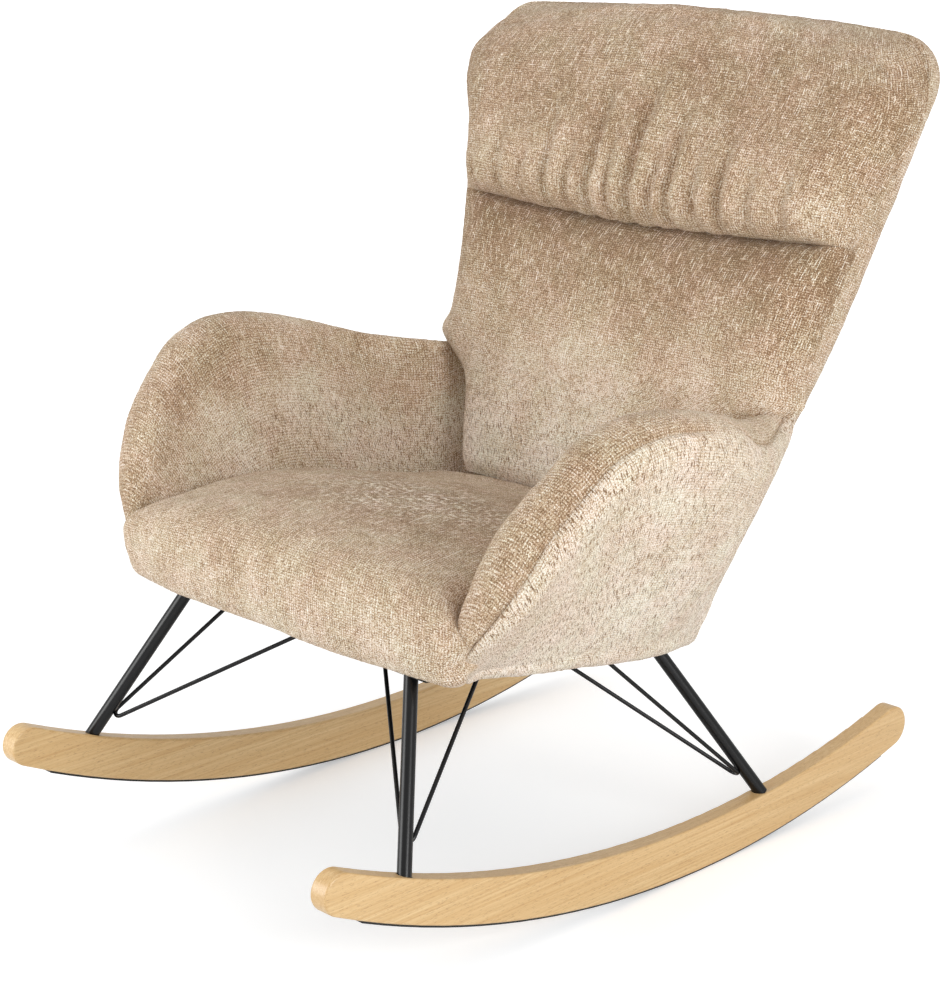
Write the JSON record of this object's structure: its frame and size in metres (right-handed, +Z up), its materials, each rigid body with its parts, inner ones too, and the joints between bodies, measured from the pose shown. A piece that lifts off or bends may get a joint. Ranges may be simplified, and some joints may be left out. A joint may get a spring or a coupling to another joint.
{
  "type": "rocking armchair",
  "caption": "Upholstered rocking armchair: a tub seat with a high back and head pillow on thin steel legs and bentwood rockers.",
  "frame": {"origin": "on the floor, midway between the rockers, under the line where they touch it", "axes": "+Z up, +X to the sitter's left across the chair, -Y to the front, where the sitter faces"},
  "size_m": [0.779, 0.986, 0.9724],
  "materials": {
    "rocker_wood": "clear lacquered beech",
    "strip_black": "matt black",
    "black_steel": "satin black powder coat",
    "zinc_steel": "zinc plated",
    "plywood": "bare plywood",
    "dust_cloth": "black non-woven cloth",
    "upholstery": "sand-beige chenille over foam"
  },
  "bodies": {
    "root": {"arm_left": "upholstery", "arm_panel_left": "plywood", "arm_panel_right": "plywood", "arm_right": "upholstery", "back_board": "plywood", "base_bolts": "zinc_steel", "brace_back_left": "black_steel", "brace_back_right": "black_steel", "brace_front_left": "black_steel", "brace_front_right": "black_steel", "cross_bar_back": "black_steel", "cross_bar_front": "black_steel", "dust_cover": "dust_cloth", "glide_strip_left": "strip_black", "glide_strip_right": "strip_black", "head_pillow": "upholstery", "leg_back_left": "black_steel", "leg_back_right": "black_steel", "leg_front_left": "black_steel", "leg_front_right": "black_steel", "leg_plugs": "zinc_steel", "lower_back_cushion": "upholstery", "rear_cover": "upholstery", "rocker_left": "rocker_wood", "rocker_right": "rocker_wood", "seat_board": "plywood", "seat_cushion": "upholstery", "side_rail_left": "black_steel", "side_rail_right": "black_steel", "sleeve_nuts": "zinc_steel", "tee_nuts": "zinc_steel"}
  },
  "joints": []
}
